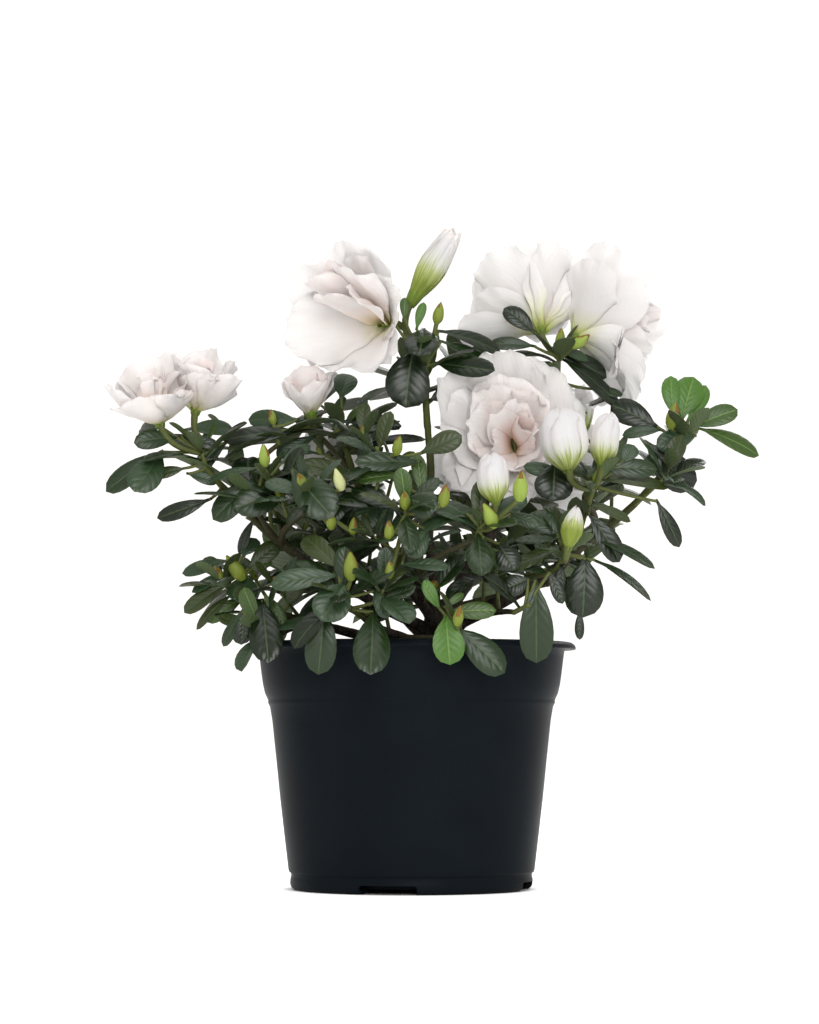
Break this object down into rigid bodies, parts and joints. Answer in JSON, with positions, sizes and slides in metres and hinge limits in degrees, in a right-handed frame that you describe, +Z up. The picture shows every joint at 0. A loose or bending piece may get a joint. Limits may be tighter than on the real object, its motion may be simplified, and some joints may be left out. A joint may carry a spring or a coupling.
{
  "type": "potted azalea shrub",
  "caption": "Florist's azalea in bloom: short stem, spreading boughs, whorled dark leaves and double white-pink blooms, in a tapered round nursery pot.",
  "frame": {"origin": "middle of the pot's flat underside, on the floor", "axes": "+Z up along the pot's axis; the plant's front, with its large facing bloom, looks along -Y; +X is to the right as seen from the front"},
  "size_m": [0.2572, 0.1938, 0.2642],
  "materials": {
    "pot_plastic": "satin",
    "compost": "matte",
    "bark": "matte",
    "foliage": "satin",
    "petals": "matte",
    "bud_petals": "matte"
  },
  "bodies": {
    "root": {"pot": "pot_plastic", "root_ball": "compost", "trunk": "bark", "bough_crest": "bark", "bough_upper_left": "bark", "bough_upper_right": "bark", "bough_back_right": "bark", "bough_left": "bark", "bough_right": "bark", "bough_back": "bark", "bough_front": "bark", "bough_left_low": "bark", "bough_right_low": "bark", "bough_back_left": "bark", "bough_front_left": "bark", "leaves_crest": "foliage", "leaves_half_open": "foliage", "leaves_upper_left": "foliage", "leaves_left_tip": "foliage", "leaves_left_shoulder": "foliage", "leaves_left_front": "foliage", "leaves_left_low": "foliage", "leaves_left_rim": "foliage", "leaves_front_left": "foliage", "leaves_front_middle": "foliage", "leaves_front_right": "foliage", "leaves_middle": "foliage", "leaves_over_rim": "foliage", "leaves_over_rim_right": "foliage", "leaves_right_low": "foliage", "leaves_right_shoulder": "foliage", "leaves_right_tip": "foliage", "leaves_upper_right": "foliage", "leaves_right_back_low": "foliage", "leaves_right_back": "foliage", "leaves_back_right_low": "foliage", "leaves_back_right_high": "foliage", "leaves_back": "foliage", "leaves_back_low": "foliage", "leaves_back_high": "foliage", "leaves_back_left": "foliage", "leaves_back_left_low": "foliage", "leaves_left_back": "foliage", "leaves_left_back_high": "foliage", "bloom_left_outer": "petals", "bloom_left_inner": "petals", "bloom_upper_left": "petals", "bloom_half_open": "petals", "bloom_top": "petals", "bloom_top_right": "petals", "bloom_centre": "petals", "bloom_back": "petals", "bloom_back_left": "petals", "bud_tall": "bud_petals", "bud_pair_left": "bud_petals", "bud_pair_right": "bud_petals", "bud_front": "bud_petals", "bud_low_right": "bud_petals", "bud_back": "bud_petals"}
  },
  "joints": []
}
